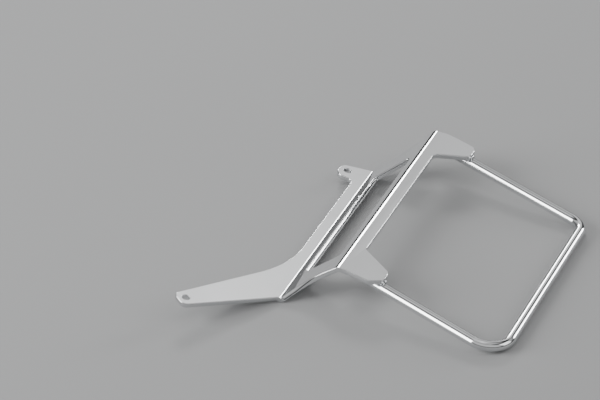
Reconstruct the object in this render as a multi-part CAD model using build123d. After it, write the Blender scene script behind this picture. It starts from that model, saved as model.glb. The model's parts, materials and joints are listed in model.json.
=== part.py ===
from build123d import *
import math
import os

# Right-hand pannier frame: a folded steel bracket plate with a bent tube hoop welded under its two ears.
# It is modelled as it rests on a flat surface, with the fold lines along Y and the hoop towards +X.
# Lengths are in millimetres and angles in degrees.

# Sheet of the bracket plate
plate_thickness = 6.0
bend_inner_radius = 3.0
edge_break = 0.8

# The flange and the face rise from the valley fold, and the ears run down from the ridge fold
flange_tilt = 14.5
face_tilt = 32.3
face_width = 69.5

# The plate's two ends cross each fold squarely, at these places along Y, and turn away a margin beside it
valley_near_end = -4.0
valley_far_end = 311.0
ridge_near_end = 24.0
ridge_far_end = 369.0
valley_turn_margin = 1.6
ridge_turn_margin = 1.7
turn_radius = 3.5

# Edges of the face between the folds
near_flare_angle = 45.0
near_flare_radius = 55.0
far_waist_margin = 33.5
far_waist_y = 336.0
far_waist_radius = 150.0

# Mounting flange: bolt holes, the long arm at the near end, the short tab at the far end
bolt_hole_diameter = 9.0
strip_width = 14.0
arm_hole_reach = 89.0
arm_hole_y = -74.0
arm_half_width = 12.0
arm_end_margin = 9.9
arm_corner_radius = 7.0
arm_root_y = 66.0
arm_root_radius = 150.0
tab_hole_reach = 25.7
tab_hole_y = 291.5
tab_end_margin = 10.7
tab_near_margin = 14.0
tab_far_margin = 11.5
tab_corner_radius = 10.0
tab_root_radius = 6.0

# Window in the face
window_lower_margin = 12.5
window_upper_margin = 12.0
window_near_lower_y = 50.5
window_near_upper_y = 61.5
window_far_lower_y = 287.0
window_far_upper_y = 308.5
window_corner_radius = 5.0

# Band and ears beyond the ridge fold
band_width = 16.0
ear_reach = 56.1
near_ear_shoulder_reach = 41.0
near_ear_shoulder_y = 15.6
near_ear_outer_y = 24.5
near_ear_inner_y = 44.0
near_ear_root_y = 77.5
far_ear_inner_y = 332.0
far_ear_outer_y = 354.6
far_ear_root_y = 316.5
ear_tip_radius = 9.0
ear_root_radius = 8.0
near_corner_reach = 9.0
near_corner_radius = 40.0
far_corner_reach = 17.0
far_corner_radius = 40.0

# Hoop of round tube
tube_diameter = 12.7
tube_wall = 2.0
hoop_bend_radius = 26.0
hoop_reach = 217.8
hoop_near_corner_y = -39.6
hoop_far_corner_y = 272.7
leg_skew = 22.6
leg_end_reach = 15.0

# Weld runs between each leg and its ear
weld_radius = 2.6
weld_offset = 4.85
weld_drop = 1.2
weld_end_radius = 1.7
weld_pitch = 4.5
weld_ripple = 0.3
weld_crest_share = 0.4
weld_start_margin = 3.0
weld_end_margin = 0.5
short_weld_end_margin = 9.0

bend_outer_radius = bend_inner_radius + plate_thickness
length_tolerance = 0.02
tube_radius = tube_diameter / 2


def direction(angle):
    """Unit vector in a panel's own plane."""
    return Vector(math.cos(math.radians(angle)), math.sin(math.radians(angle)))


def angle_of(vector):
    """Angle of a vector in a panel's own plane."""
    return math.degrees(math.atan2(vector.Y, vector.X))


def touching_angle(point, centre, radius, side):
    """Angle of the line from a point that touches a circle on its left (1) or right (-1) side."""
    to_centre = centre - point
    return angle_of(to_centre) + side * math.degrees(math.asin(radius / to_centre.length))


def meet(point_a, angle_a, point_b, angle_b):
    """Point where two lines in a plane cross."""
    along_a = direction(angle_a)
    along_b = direction(angle_b)
    gap = point_b - point_a
    distance = (gap.X * along_b.Y - gap.Y * along_b.X) / (along_a.X * along_b.Y - along_a.Y * along_b.X)
    return point_a + along_a * distance


def panel_plane(crease, tilt):
    """Upper surface of a panel: local x crosses the folds and rises by the tilt, local y runs along Y."""
    across = (math.cos(math.radians(tilt)), 0, math.sin(math.radians(tilt)))
    upward = (-math.sin(math.radians(tilt)), 0, math.cos(math.radians(tilt)))
    return Plane(origin=crease, x_dir=across, z_dir=upward)


def rounded_face(corners, radii):
    """Face inside a closed outline whose corners are rounded by the radii."""
    return make_face(FilletPolyline(*corners, radius=radii, close=True))


def panel(plane, shape):
    """Flat part of the sheet, below the plane of its upper surface."""
    return extrude(plane * shape, amount=-plate_thickness)


def fold(plane, start, turn, near_end, far_end):
    """Bent part of the sheet beyond the line x = start of a panel's plane, upwards if the turn is positive."""
    width = far_end - near_end
    corner = plane.from_local_coords((start, near_end, 0))
    section_plane = Plane(origin=corner, x_dir=plane.y_dir, z_dir=plane.x_dir)
    section = section_plane * Pos(width / 2, -plate_thickness / 2) * Rectangle(width, plate_thickness)
    axis_height = bend_inner_radius if turn > 0 else -bend_outer_radius
    axis = Axis(plane.from_local_coords((start, 0, axis_height)), -plane.y_dir * math.copysign(1, turn))
    return revolve(section, axis=axis, revolution_arc=abs(turn))


# Attitude of the ears: the hoop lies along their underside and its end bar comes down to the floor
valley_turn = flange_tilt + face_tilt
valley_setback = bend_inner_radius * math.tan(math.radians(valley_turn / 2))
valley_turn_reach = valley_setback + valley_turn_margin
valley_height = (
    bend_outer_radius
    - valley_setback * math.sin(math.radians(face_tilt))
    - bend_inner_radius * math.cos(math.radians(face_tilt))
)
valley_crease = Vector(0, 0, valley_height)
flange_plane = panel_plane(valley_crease, -flange_tilt)
face_plane = panel_plane(valley_crease, face_tilt)
ridge_crease = face_plane.from_local_coords((face_width, 0, 0))
hoop_drop = plate_thickness + tube_radius
ear_tilt = math.degrees(
    math.asin((ridge_crease.Z - tube_radius) / math.hypot(hoop_reach, hoop_drop))
    - math.atan2(hoop_drop, hoop_reach)
)
ear_plane = panel_plane(ridge_crease, -ear_tilt)
ridge_turn = face_tilt + ear_tilt
ridge_setback = bend_outer_radius * math.tan(math.radians(ridge_turn / 2))
ridge_turn_reach = ridge_setback + ridge_turn_margin


def flange_shape():
    """Mounting flange: the long arm, the strip and the short tab, with both bolt holes."""
    near_fold = Vector(-valley_turn_reach, valley_near_end)
    far_fold = Vector(-valley_turn_reach, valley_far_end)
    arm_root = Vector(-strip_width, arm_root_y)
    arm_hole = Vector(-arm_hole_reach, arm_hole_y)
    lower_angle = touching_angle(near_fold, arm_hole, arm_half_width, 1)
    upper_angle = touching_angle(arm_root, arm_hole, arm_half_width, -1)
    arm_angle = angle_of(direction(lower_angle) + direction(upper_angle))
    arm_end = arm_hole + direction(arm_angle) * arm_end_margin
    tab_hole = Vector(-tab_hole_reach, tab_hole_y)
    tab_end = tab_hole - Vector(tab_end_margin, 0)
    tab_near_y = tab_hole_y - tab_near_margin
    tab_angle = touching_angle(far_fold, tab_hole, tab_far_margin, -1)
    corners = [
        (-valley_setback, valley_near_end),
        near_fold,
        meet(near_fold, lower_angle, arm_end, arm_angle + 90),
        meet(arm_root, upper_angle, arm_end, arm_angle + 90),
        arm_root,
        Vector(-strip_width, tab_near_y),
        Vector(tab_end.X, tab_near_y),
        meet(far_fold, tab_angle, tab_end, 90),
        far_fold,
        (-valley_setback, valley_far_end),
    ]
    radii = [0, turn_radius, arm_corner_radius, arm_corner_radius, arm_root_radius, tab_root_radius]
    radii += [tab_corner_radius, tab_corner_radius, turn_radius, 0]
    hole = Circle(bolt_hole_diameter / 2)
    return rounded_face(corners, radii) - Pos(*arm_hole) * hole - Pos(*tab_hole) * hole


def face_shape():
    """Face between the folds, flared at its near end towards the arm, with its window."""
    ridge_line = face_width - ridge_setback
    flare_length = (ridge_near_end - valley_near_end) / math.tan(math.radians(near_flare_angle))
    corners = [
        (valley_setback, valley_near_end),
        (valley_turn_reach, valley_near_end),
        (valley_turn_reach + flare_length, ridge_near_end),
        (ridge_line, ridge_near_end),
        (ridge_line, ridge_far_end),
        (face_width - ridge_turn_reach, ridge_far_end),
        (face_width - far_waist_margin, far_waist_y),
        (valley_turn_reach, valley_far_end),
        (valley_setback, valley_far_end),
    ]
    radii = [0, turn_radius, near_flare_radius, 0, 0]
    radii += [turn_radius, far_waist_radius, turn_radius, 0]
    window_top = face_width - window_upper_margin
    window = [
        (window_lower_margin, window_near_lower_y),
        (window_top, window_near_upper_y),
        (window_top, window_far_upper_y),
        (window_lower_margin, window_far_lower_y),
    ]
    return rounded_face(corners, radii) - rounded_face(window, window_corner_radius)


def ear_shape():
    """Band beyond the ridge fold with its two ears."""
    corners = [
        (ridge_setback, ridge_near_end),
        (near_corner_reach, ridge_near_end),
        (near_ear_shoulder_reach, near_ear_shoulder_y),
        (ear_reach, near_ear_outer_y),
        (ear_reach, near_ear_inner_y),
        (band_width, near_ear_root_y),
        (band_width, far_ear_root_y),
        (ear_reach, far_ear_inner_y),
        (ear_reach, far_ear_outer_y),
        (far_corner_reach, ridge_far_end),
        (ridge_setback, ridge_far_end),
    ]
    radii = [0, near_corner_radius, ear_tip_radius, ear_tip_radius, ear_tip_radius]
    radii += [ear_root_radius, ear_root_radius, ear_tip_radius, ear_tip_radius, far_corner_radius, 0]
    return rounded_face(corners, radii)


def is_rim(edge):
    """Whether an edge of the sheet is broken: the fold seams and the upright edges stay as they are."""
    is_upright = abs(edge.length - plate_thickness) < length_tolerance
    is_fold_seam = edge.length > valley_far_end - valley_near_end - length_tolerance
    return not (is_upright or is_fold_seam)


def bracket_plate():
    """The one folded sheet with its rims broken."""
    ridge_line = face_width - ridge_setback
    flange = panel(flange_plane, flange_shape())
    valley_fold = fold(flange_plane, -valley_setback, valley_turn, valley_near_end, valley_far_end)
    face = panel(face_plane, face_shape())
    ridge_fold = fold(face_plane, ridge_line, -ridge_turn, ridge_near_end, ridge_far_end)
    ears = panel(ear_plane, ear_shape())
    sheet = flange + valley_fold + face + ridge_fold + ears
    rims = [edge for edge in sheet.edges() if is_rim(edge)]
    return chamfer(rims, edge_break)


def leg_point(corner_y, reach):
    """Point on the middle line of a leg, in the hoop's plane."""
    return Vector(reach, corner_y + (hoop_reach - reach) * math.tan(math.radians(leg_skew)))


def hoop_path():
    """Middle line of the hoop: two skewed legs joined by the end bar."""
    points = (
        leg_point(hoop_near_corner_y, leg_end_reach),
        leg_point(hoop_near_corner_y, hoop_reach),
        leg_point(hoop_far_corner_y, hoop_reach),
        leg_point(hoop_far_corner_y, leg_end_reach),
    )
    return hoop_plane * FilletPolyline(*points, radius=hoop_bend_radius)


def round_bar(path, radius):
    """Round bar along the hoop's middle line."""
    return sweep(Plane(origin=path @ 0, z_dir=path % 0) * Circle(radius), path=path)


def weld_bead(corner_y, side, end_margin):
    """Rippled fillet weld along one side of a leg, filling the gap under the ear."""
    sideways = direction(90 - leg_skew) * side * weld_offset
    first = leg_point(corner_y, leg_end_reach + weld_start_margin) + sideways
    last = leg_point(corner_y, ear_reach - end_margin) + sideways
    length = (last - first).length
    ripples = round(length / weld_pitch)
    pitch = length / ripples
    profile = [(0, 0), (0, weld_end_radius)]
    for ripple in range(ripples):
        profile.append(((ripple + weld_crest_share) * pitch, weld_radius))
        profile.append(((ripple + 1) * pitch, weld_radius - weld_ripple))
    profile[-1] = (length, weld_end_radius)
    profile.append((length, 0))
    start = hoop_plane.from_local_coords((first.X, first.Y, tube_radius - weld_drop))
    along = hoop_plane.from_local_coords(direction(-leg_skew)) - hoop_plane.origin
    bead_plane = Plane(origin=start, x_dir=along, z_dir=along.cross(hoop_plane.z_dir))
    bead = revolve(bead_plane * make_face(Polyline(*profile, close=True)), axis=Axis(start, along))
    sheet_space = panel(ear_plane, Pos(0, first.Y) * Rectangle(hoop_reach, hoop_reach))
    return bead - sheet_space - round_bar(hoop_path(), tube_radius)


hoop_plane = ear_plane.offset(-hoop_drop)
hoop_line = hoop_path()
parts = {
    "bracket_plate": bracket_plate(),
    "hoop_tube": round_bar(hoop_line, tube_radius) - round_bar(hoop_line, tube_radius - tube_wall),
    "near_leg_outer_weld": weld_bead(hoop_near_corner_y, -1, short_weld_end_margin),
    "near_leg_inner_weld": weld_bead(hoop_near_corner_y, 1, weld_end_margin),
    "far_leg_inner_weld": weld_bead(hoop_far_corner_y, -1, weld_end_margin),
    "far_leg_outer_weld": weld_bead(hoop_far_corner_y, 1, weld_end_margin),
}
whole = Compound([solid for part in parts.values() for solid in part.solids()])
box = whole.bounding_box()
origin_shift = Location((-box.center().X, -box.center().Y, -box.min.Z))
os.makedirs("parts", exist_ok=True)
for name, part in parts.items():
    export_step(origin_shift * part, f"parts/{name}.step")
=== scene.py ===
import json
import math

import bmesh
import bpy
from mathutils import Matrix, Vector


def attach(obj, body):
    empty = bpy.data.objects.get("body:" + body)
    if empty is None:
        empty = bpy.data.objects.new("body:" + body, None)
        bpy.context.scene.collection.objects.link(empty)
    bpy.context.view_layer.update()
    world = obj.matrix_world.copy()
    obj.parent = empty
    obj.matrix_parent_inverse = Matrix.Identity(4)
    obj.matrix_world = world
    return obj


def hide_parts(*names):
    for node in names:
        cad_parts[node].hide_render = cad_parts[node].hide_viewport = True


bl_info = {
    "name": "Chromed pannier frame",
    "version": (1, 0, 0),
    "blender": (4, 5, 0),
    "location": "View3D > Sidebar > Pannier frame",
    "description": "Dresses the packed pannier frame in mirror chrome, in a plain studio",
    "category": "Object",
}

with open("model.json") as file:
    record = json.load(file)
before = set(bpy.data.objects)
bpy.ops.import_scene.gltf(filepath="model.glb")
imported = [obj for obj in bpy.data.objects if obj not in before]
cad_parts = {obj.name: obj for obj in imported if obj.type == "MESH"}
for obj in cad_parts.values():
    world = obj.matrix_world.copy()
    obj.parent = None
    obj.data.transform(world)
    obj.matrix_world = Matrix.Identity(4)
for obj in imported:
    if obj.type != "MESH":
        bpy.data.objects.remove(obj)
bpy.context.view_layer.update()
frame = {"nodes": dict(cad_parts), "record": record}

# Copies of the CAD meshes
MERGE_DISTANCE = 1e-6
FLAT_ANGLE = math.radians(0.2)
SHARP_ANGLE = math.radians(48)
AREA_WEIGHT = 50
WELD_NODES = (
    "near_leg_outer_weld",
    "near_leg_inner_weld",
    "far_leg_inner_weld",
    "far_leg_outer_weld",
)

# Noise scales, in features a metre
PATCH_SCALE = 14.0
WAVE_SCALE = 22.0
MARK_SCALE = 400.0
BUFFING_SCALE = 900.0
WELD_GRAIN_SCALE = 420.0
WELD_PIT_SCALE = 900.0
STAIN_SCALE = 160.0
FLOOR_MOTTLE_SCALE = 3.0

# Stretch of the noise along X, Y and Z: a small share draws it out along the grain
SHEET_GRAIN = (1.0, 0.03, 1.0)
TUBE_GRAIN = (1.0, 0.2, 1.0)
MARK_GRAIN = (1.0, 0.012, 1.0)

# The inner fold of the sheet and how far from it the press marks reach and fade, in metres
VALLEY_X = -0.0903
MARK_REACH = 0.008
MARK_FADE = 0.018

# Noise values between which each pattern sets in
HAZE_STEP = (0.45, 0.75)
PIT_STEP = (0.62, 0.75)
STAIN_STEP = (0.4, 0.7)

# Share of the tint where a pattern is absent and where it is full
HAZE_SHADES = (1.0, 0.93)
PIT_SHADES = (0.95, 0.6)
STAIN_SHADES = (0.38, 0.2)
FLOOR_SHADES = (0.98, 1.0)

# Roughness without the pattern, and what the full pattern adds
BUFFED_ROUGHNESS = (0.02, 0.02)
WELD_ROUGHNESS = (0.08, 0.16)
BORE_ROUGHNESS = (0.38, 0.25)
FLOOR_ROUGHNESS = (0.6, 0.1)
HAZE_GAIN = 0.5

# Other surface values; heights in metres
BUFFING_HEIGHT = 0.000004
WELD_GRAIN_HEIGHT = 0.0002
WELD_GRAIN_STRENGTH = 0.5
BORE_METALLIC = 0.85
FLOOR_SPECULAR = 0.15

# Floor, in metres
FLOOR_RADIUS = 9.0
FLOOR_SIDES = 96

# Lights: name, azimuth and elevation in degrees, distance, size and the setting with the power
LIGHTS = (
    ("overhead_light", (0, 88), 2.6, (2.4, 2.4), "overhead_power"),
    ("left_light", (119, 20), 3.2, (2.0, 2.2), "left_power"),
    ("right_light", (-80, 30), 3.2, (2.0, 2.0), "right_power"),
    ("back_left_light", (25.5, 27.2), 3.0, (0.8, 0.5), "back_power"),
    ("back_right_light", (-33, 15), 3.0, (0.8, 0.7), "side_power"),
)

# Backdrop behind the frame: grey by the Z of the direction, times a share by its X
SKY_BY_HEIGHT = (
    (0.0, 0.02),
    (0.10, 0.03),
    (0.28, 0.35),
    (0.45, 0.9),
    (0.56, 1.08),
    (0.61, 1.6),
    (0.67, 1.1),
    (0.73, 0.12),
    (0.79, 0.12),
    (0.87, 0.6),
    (1.0, 0.7),
)
SKY_BY_SIDE = (
    (-0.5, 0.5),
    (-0.18, 0.72),
    (-0.07, 1.0),
    (0.0, 0.88),
    (0.08, 0.45),
    (0.14, 0.12),
    (0.4, 0.3),
    (0.7, 0.6),
)

# Backdrop on the camera's side: grey by Z, and the Y of the direction where it sets in
FRONT_BY_HEIGHT = (
    (0.0, 0.06),
    (0.12, 0.12),
    (0.3, 0.65),
    (0.6, 0.8),
    (0.9, 0.4),
)
FRONT_STEP = (-0.1, -0.5)

# Camera, fitted to the photo
CAMERA_PLACE = (1.4972, -4.3572, 2.6759)
CAMERA_YAW = math.radians(110.36)
CAMERA_PITCH = math.radians(29.46)
CAMERA_CLIP = (0.1, 50.0)
FOCAL_PIXELS = 4615.9
IMAGE_WIDTH = 600
SENSOR_WIDTH = 36.0


def slot_colour(slot):
    """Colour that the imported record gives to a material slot."""
    for material in frame["record"]["materials"]:
        if material["slot"] == slot:
            return tuple(material["base_color"][:3])
    raise RuntimeError(f"the record has no material slot {slot}")


class PlatingSettings(bpy.types.PropertyGroup):
    """Finish of the chrome plating."""

    tint: bpy.props.FloatVectorProperty(
        name="Chrome tint",
        description="Colour of the polished chrome",
        subtype="COLOR",
        size=3,
        min=0.0,
        max=1.0,
        default=slot_colour("chrome_sheet"),
    )
    haze: bpy.props.FloatProperty(
        name="Haze",
        description="Roughness of the polish where it is haziest",
        min=0.0,
        max=0.5,
        default=0.07,
    )
    ripple: bpy.props.FloatProperty(
        name="Polish ripple",
        description="Height of the slow waves that hand polishing leaves in the surface",
        subtype="DISTANCE",
        unit="LENGTH",
        min=0.0,
        max=0.001,
        default=0.00002,
    )
    fold_marks: bpy.props.FloatProperty(
        name="Fold marks",
        description="Height of the long ridges that the press leaves beside the sheet's inner fold",
        subtype="DISTANCE",
        unit="LENGTH",
        min=0.0,
        max=0.001,
        default=0.000035,
    )


class StudioSettings(bpy.types.PropertyGroup):
    """Floor and lights of the studio."""

    floor_colour: bpy.props.FloatVectorProperty(
        name="Floor colour",
        description="Colour of the pale floor",
        subtype="COLOR",
        size=3,
        min=0.0,
        max=1.0,
        default=(0.37, 0.373, 0.376),
    )
    overhead_power: bpy.props.FloatProperty(
        name="Overhead power",
        description="Power of the large light straight above the frame",
        subtype="POWER",
        unit="POWER",
        min=0.0,
        default=8.0,
    )
    left_power: bpy.props.FloatProperty(
        name="Left power",
        description="Power of the tall light at the left, which the hoop's legs mirror",
        subtype="POWER",
        unit="POWER",
        min=0.0,
        default=125.0,
    )
    right_power: bpy.props.FloatProperty(
        name="Right power",
        description="Power of the weak light at the right, which fills the shadows",
        subtype="POWER",
        unit="POWER",
        min=0.0,
        default=20.0,
    )
    back_power: bpy.props.FloatProperty(
        name="Back power",
        description="Power of the light behind at the left, which the ridge and the end bar mirror",
        subtype="POWER",
        unit="POWER",
        min=0.0,
        default=24.0,
    )
    side_power: bpy.props.FloatProperty(
        name="Side power",
        description="Power of the low light behind at the right, which the end bar mirrors",
        subtype="POWER",
        unit="POWER",
        min=0.0,
        default=24.0,
    )


class Wire:
    """A number socket that can be used in a Python expression; each operation adds a Math node."""

    def __init__(self, recipe, socket):
        self.recipe = recipe
        self.socket = socket

    def _math(self, operation, first, second):
        return self.recipe.add("ShaderNodeMath", {"operation": operation}, {0: first, 1: second})[0]

    def __add__(self, other):
        return self._math("ADD", self, other)

    def __radd__(self, other):
        return self._math("ADD", other, self)

    def __sub__(self, other):
        return self._math("SUBTRACT", self, other)

    def __rsub__(self, other):
        return self._math("SUBTRACT", other, self)

    def __mul__(self, other):
        return self._math("MULTIPLY", self, other)

    def __rmul__(self, other):
        return self._math("MULTIPLY", other, self)


class Outputs:
    """Outputs of one node, wrapped when they are asked for by name or number."""

    def __init__(self, recipe, node):
        self.recipe = recipe
        self.node = node

    def __getitem__(self, key):
        return Wire(self.recipe, self.node.outputs[key])


class Recipe:
    """A material or world that is put together from nodes."""

    def __init__(self, owner):
        self.owner = owner
        owner.use_nodes = True
        self.tree = owner.node_tree
        self.tree.nodes.clear()

    def add(self, kind, settings=None, inputs=None):
        """Adds a node: settings are its properties, inputs the values or links of its sockets."""
        node = self.tree.nodes.new(kind)
        for key, value in (settings or {}).items():
            if key == "stops":
                self.set_stops(node.color_ramp, value)
            else:
                setattr(node, key, value)
        for key, value in (inputs or {}).items():
            if isinstance(value, Wire):
                self.tree.links.new(value.socket, node.inputs[key])
            else:
                node.inputs[key].default_value = value
        return Outputs(self, node)

    @staticmethod
    def set_stops(ramp, stops):
        """Gives a colour ramp its stops, each a position and a colour."""
        while len(ramp.elements) < len(stops):
            ramp.elements.new(1.0)
        for element, (position, colour) in zip(ramp.elements, stops):
            element.position = position
            element.color = colour

    def grey_ramp(self, factor, levels):
        """Grey that follows a factor from 0 to 1, through stops of a place and a level."""
        stops = [(place, (level, level, level, 1.0)) for place, level in levels]
        return self.add("ShaderNodeValToRGB", {"stops": stops}, {"Fac": factor})["Color"]

    def place(self, scale=(1, 1, 1)):
        """Object coordinates in metres, stretched by the scale."""
        coordinates = self.add("ShaderNodeTexCoord")["Object"]
        return self.add("ShaderNodeMapping", {}, {"Vector": coordinates, "Scale": scale})["Vector"]

    def noise(self, scale, detail=2.0, stretch=(1, 1, 1)):
        """Noise from 0 to 1 with that many features a metre."""
        inputs = {"Vector": self.place(stretch), "Scale": scale, "Detail": detail}
        return self.add("ShaderNodeTexNoise", {}, inputs)["Fac"]

    def band(self, value, low, high):
        """0 below low and 1 above high, with a smooth step between."""
        settings = {"interpolation_type": "SMOOTHSTEP"}
        inputs = {"Value": value, "From Min": low, "From Max": high}
        return self.add("ShaderNodeMapRange", settings, inputs)["Result"]

    def beside(self, line_x, near, far):
        """1 within near of a line along Y at line_x, 0 beyond far from it."""
        offset = self.add("ShaderNodeSeparateXYZ", {}, {"Vector": self.place()})["X"] - line_x
        distance = self.add("ShaderNodeMath", {"operation": "ABSOLUTE"}, {0: offset})[0]
        return 1.0 - self.band(distance, near, far)

    def blend(self, factor, first, second):
        """Colour between two colours or colour links."""
        settings = {"data_type": "RGBA"}
        return self.add("ShaderNodeMix", settings, {"Factor": factor, 6: first, 7: second})[2]

    def bump(self, height, distance, strength=1.0, normal=None):
        """Normal of a surface with that height pattern."""
        inputs = {"Height": height, "Distance": distance, "Strength": strength}
        if normal is not None:
            inputs["Normal"] = normal
        return self.add("ShaderNodeBump", {}, inputs)["Normal"]

    def finish(self, inputs):
        """Adds the surface shader and the output."""
        shader = self.add("ShaderNodeBsdfPrincipled", {}, inputs)["BSDF"]
        self.add("ShaderNodeOutputMaterial", {}, {"Surface": shader})
        return self.owner


def new_recipe(name):
    """Recipe of a new material."""
    return Recipe(bpy.data.materials.new(name))


def shades(tint, shares):
    """The tint scaled towards black by each share, with full alpha."""
    return [(*[channel * share for channel in tint[:3]], 1.0) for share in shares]


def mirror_chrome(name, settings, grain, fold_x=None):
    """Polished chrome: a slow ripple, faint haze patches and fine buffing lines along the grain.

    Beside a fold along Y at fold_x the sheet has long press marks too.
    """
    recipe = new_recipe(name)
    haze = recipe.band(recipe.noise(PATCH_SCALE, detail=3.0), *HAZE_STEP)
    lines = recipe.noise(BUFFING_SCALE, stretch=grain)
    waves = recipe.noise(WAVE_SCALE, detail=1.0)
    smoothest, lines_add = BUFFED_ROUGHNESS
    polish = recipe.bump(waves, settings.ripple)
    if fold_x is not None:
        marks = recipe.noise(MARK_SCALE, detail=1.0, stretch=MARK_GRAIN)
        marks = marks * recipe.beside(fold_x, MARK_REACH, MARK_FADE)
        polish = recipe.bump(marks, settings.fold_marks, normal=polish)
    return recipe.finish(
        {
            "Base Color": recipe.blend(haze, *shades(settings.tint, HAZE_SHADES)),
            "Metallic": 1.0,
            "Roughness": smoothest + haze * (settings.haze * HAZE_GAIN) + lines * lines_add,
            "Normal": recipe.bump(lines, BUFFING_HEIGHT, normal=polish),
        }
    )


def plated_weld(settings):
    """Chrome over a weld bead: duller between the ripples, with small pits."""
    recipe = new_recipe("plated_weld")
    grain = recipe.noise(WELD_GRAIN_SCALE, detail=3.0)
    pits = recipe.band(recipe.noise(WELD_PIT_SCALE), *PIT_STEP)
    smoothest, grain_adds = WELD_ROUGHNESS
    return recipe.finish(
        {
            "Base Color": recipe.blend(pits, *shades(settings.tint, PIT_SHADES)),
            "Metallic": 1.0,
            "Roughness": smoothest + grain * grain_adds,
            "Normal": recipe.bump(grain, WELD_GRAIN_HEIGHT, strength=WELD_GRAIN_STRENGTH),
        }
    )


def bare_bore(settings):
    """Inside of the tube, where the plating bath hardly reaches: dull grey steel with stains."""
    recipe = new_recipe("bare_bore")
    stain = recipe.band(recipe.noise(STAIN_SCALE, detail=4.0), *STAIN_STEP)
    smoothest, stain_adds = BORE_ROUGHNESS
    return recipe.finish(
        {
            "Base Color": recipe.blend(stain, *shades(settings.tint, STAIN_SHADES)),
            "Metallic": BORE_METALLIC,
            "Roughness": smoothest + stain * stain_adds,
        }
    )


def smooth_regions(shape):
    """Groups of faces that sharp edges divide, the largest group first."""
    regions = []
    seen = set()
    for start in shape.faces:
        if start in seen:
            continue
        seen.add(start)
        region = [start]
        for face in region:
            for edge in face.edges:
                for other in edge.link_faces:
                    if edge.smooth and other not in seen:
                        seen.add(other)
                        region.append(other)
        regions.append(region)
    return sorted(regions, key=lambda faces: -sum(face.calc_area() for face in faces))


def smooth_copy(node_name, piece_name, materials):
    """A merged, smoothly shaded copy of a CAD node, which replaces the node.

    A second material goes on the second largest skin, such as the bore of a tube.
    """
    node = frame["nodes"][node_name]
    mesh = bpy.data.meshes.new(piece_name)
    shape = bmesh.new()
    shape.from_mesh(node.data)
    bmesh.ops.remove_doubles(shape, verts=shape.verts, dist=MERGE_DISTANCE)
    bmesh.ops.dissolve_limit(
        shape,
        angle_limit=FLAT_ANGLE,
        verts=shape.verts,
        edges=shape.edges,
        use_dissolve_boundaries=False,
    )
    for face in shape.faces:
        face.smooth = True
    for edge in shape.edges:
        edge.smooth = len(edge.link_faces) == 2 and edge.calc_face_angle() < SHARP_ANGLE
    if len(materials) > 1:
        for face in smooth_regions(shape)[1]:
            face.material_index = 1
    shape.to_mesh(mesh)
    shape.free()
    piece = bpy.data.objects.new(piece_name, mesh)
    bpy.context.scene.collection.objects.link(piece)
    for material in materials:
        mesh.materials.append(material)
    shading = piece.modifiers.new("flat panels", "WEIGHTED_NORMAL")
    shading.mode = "FACE_AREA"
    shading.weight = AREA_WEIGHT
    shading.keep_sharp = True
    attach(piece, "root")
    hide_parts(node_name)
    return piece


class PANNIER_OT_plate(bpy.types.Operator):
    """Dress the folded bracket plate in chrome"""

    bl_idname = "pannier.plate"
    bl_label = "Bracket plate"

    def execute(self, context):
        settings = context.scene.pannier_plating
        chrome = mirror_chrome("sheet_chrome", settings, SHEET_GRAIN, VALLEY_X)
        piece = smooth_copy("bracket_plate", "chromed_plate", [chrome])
        return {"FINISHED"}


class PANNIER_OT_hoop(bpy.types.Operator):
    """Dress the hoop in chrome, with a bare bore"""

    bl_idname = "pannier.hoop"
    bl_label = "Tube hoop"

    def execute(self, context):
        settings = context.scene.pannier_plating
        chrome = mirror_chrome("tube_chrome", settings, TUBE_GRAIN)
        piece = smooth_copy("hoop_tube", "chromed_hoop", [chrome, bare_bore(settings)])
        return {"FINISHED"}


class PANNIER_OT_welds(bpy.types.Operator):
    """Dress the weld runs between the hoop's legs and the ears"""

    bl_idname = "pannier.welds"
    bl_label = "Weld runs"

    def execute(self, context):
        plating = plated_weld(context.scene.pannier_plating)
        for node_name in WELD_NODES:
            piece = smooth_copy(node_name, "chromed_" + node_name, [plating])
        return {"FINISHED"}


def add_light(name, direction, distance, size, power):
    """A soft light that faces the frame from an azimuth and elevation in degrees.

    Azimuth 0 is along +Y and 90 along -X.
    """
    azimuth, elevation = [math.radians(angle) for angle in direction]
    level = math.cos(elevation)
    toward = Vector((-math.sin(azimuth) * level, math.cos(azimuth) * level, math.sin(elevation)))
    lamp = bpy.data.lights.new(name, "AREA")
    lamp.shape = "RECTANGLE"
    lamp.size, lamp.size_y = size
    lamp.energy = power
    light = bpy.data.objects.new(name, lamp)
    light.location = toward * distance
    light.rotation_euler = toward.to_track_quat("Z", "Y").to_euler()
    bpy.context.scene.collection.objects.link(light)


def pale_floor(colour):
    """Plain pale floor with a matt surface and faint unevenness."""
    recipe = new_recipe("pale_floor")
    mottle = recipe.noise(FLOOR_MOTTLE_SCALE)
    smoothest, mottle_adds = FLOOR_ROUGHNESS
    return recipe.finish(
        {
            "Base Color": recipe.blend(mottle, *shades(colour, FLOOR_SHADES)),
            "Roughness": smoothest + mottle * mottle_adds,
            "Specular IOR Level": FLOOR_SPECULAR,
        }
    )


def add_floor(colour):
    """Round floor under the frame."""
    shape = bmesh.new()
    bmesh.ops.create_circle(shape, cap_ends=True, segments=FLOOR_SIDES, radius=FLOOR_RADIUS)
    mesh = bpy.data.meshes.new("studio_floor")
    shape.to_mesh(mesh)
    shape.free()
    mesh.materials.append(pale_floor(colour))
    floor = bpy.data.objects.new("studio_floor", mesh)
    bpy.context.scene.collection.objects.link(floor)


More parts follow.
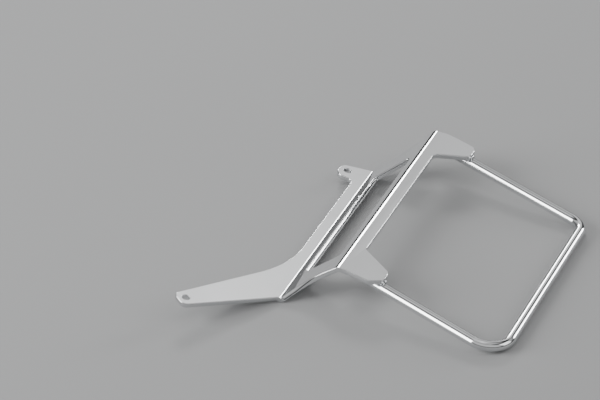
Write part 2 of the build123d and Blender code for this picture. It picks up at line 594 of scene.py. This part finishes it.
def studio_world():
    """Backdrop that the chrome mirrors: a light grey band at medium height between dark ones.

    On the camera's side it is an even mid grey above a darker horizon.
    """
    recipe = Recipe(bpy.data.worlds.new("studio_world"))
    direction = recipe.add("ShaderNodeTexCoord")["Generated"]
    axes = recipe.add("ShaderNodeSeparateXYZ", {}, {"Vector": direction})
    height = recipe.grey_ramp(axes["Z"], SKY_BY_HEIGHT)
    side_levels = [((1.0 + place) * 0.5, level) for place, level in SKY_BY_SIDE]
    side = recipe.grey_ramp(0.5 + axes["X"] * 0.5, side_levels)
    behind_inputs = {"Color": height, "Strength": side}
    behind = recipe.add("ShaderNodeBackground", {}, behind_inputs)["Background"]
    front_height = recipe.grey_ramp(axes["Z"], FRONT_BY_HEIGHT)
    front = recipe.add("ShaderNodeBackground", {}, {"Color": front_height})["Background"]
    in_front = recipe.band(axes["Y"], *FRONT_STEP)
    backdrop = recipe.add("ShaderNodeMixShader", {}, {0: in_front, 1: behind, 2: front})
    recipe.add("ShaderNodeOutputWorld", {}, {"Surface": backdrop["Shader"]})
    return recipe.owner


def photo_camera():
    """Camera at the photo's place and angle."""
    camera_data = bpy.data.cameras.new("photo_camera")
    camera_data.sensor_width = SENSOR_WIDTH
    camera_data.sensor_fit = "HORIZONTAL"
    camera_data.lens = FOCAL_PIXELS * SENSOR_WIDTH / IMAGE_WIDTH
    camera_data.clip_start, camera_data.clip_end = CAMERA_CLIP
    camera = bpy.data.objects.new("photo_camera", camera_data)
    camera.location = CAMERA_PLACE
    camera.rotation_euler = (math.radians(90) - CAMERA_PITCH, 0.0, CAMERA_YAW - math.radians(90))
    bpy.context.scene.collection.objects.link(camera)
    return camera


class PANNIER_OT_studio(bpy.types.Operator):
    """Set up the pale floor, the soft lights and the camera"""

    bl_idname = "pannier.studio"
    bl_label = "Studio"

    def execute(self, context):
        settings = context.scene.pannier_studio
        add_floor(settings.floor_colour)
        for name, direction, distance, size, power in LIGHTS:
            add_light(name, direction, distance, size, getattr(settings, power))
        context.scene.world = studio_world()
        context.scene.camera = photo_camera()
        return {"FINISHED"}


class PANNIER_PT_panel(bpy.types.Panel):
    """Lists the steps that dress the pannier frame"""

    bl_idname = "PANNIER_PT_panel"
    bl_label = "Pannier frame"
    bl_space_type = "VIEW_3D"
    bl_region_type = "UI"
    bl_category = "Pannier frame"

    def draw(self, context):
        for settings in (context.scene.pannier_plating, context.scene.pannier_studio):
            for name in type(settings).__annotations__:
                self.layout.prop(settings, name)
        for step in STEPS:
            self.layout.operator(step.bl_idname)


STEPS = (PANNIER_OT_plate, PANNIER_OT_hoop, PANNIER_OT_welds, PANNIER_OT_studio)
CLASSES = (PlatingSettings, StudioSettings, *STEPS, PANNIER_PT_panel)


def register():
    for item in CLASSES:
        bpy.utils.register_class(item)
    bpy.types.Scene.pannier_plating = bpy.props.PointerProperty(type=PlatingSettings)
    bpy.types.Scene.pannier_studio = bpy.props.PointerProperty(type=StudioSettings)


def unregister():
    del bpy.types.Scene.pannier_studio
    del bpy.types.Scene.pannier_plating
    for item in reversed(CLASSES):
        bpy.utils.unregister_class(item)


def main():
    register()
    bpy.ops.pannier.plate()
    bpy.ops.pannier.hoop()
    bpy.ops.pannier.welds()
    bpy.ops.pannier.studio()


if __name__ == "__main__":
    main()
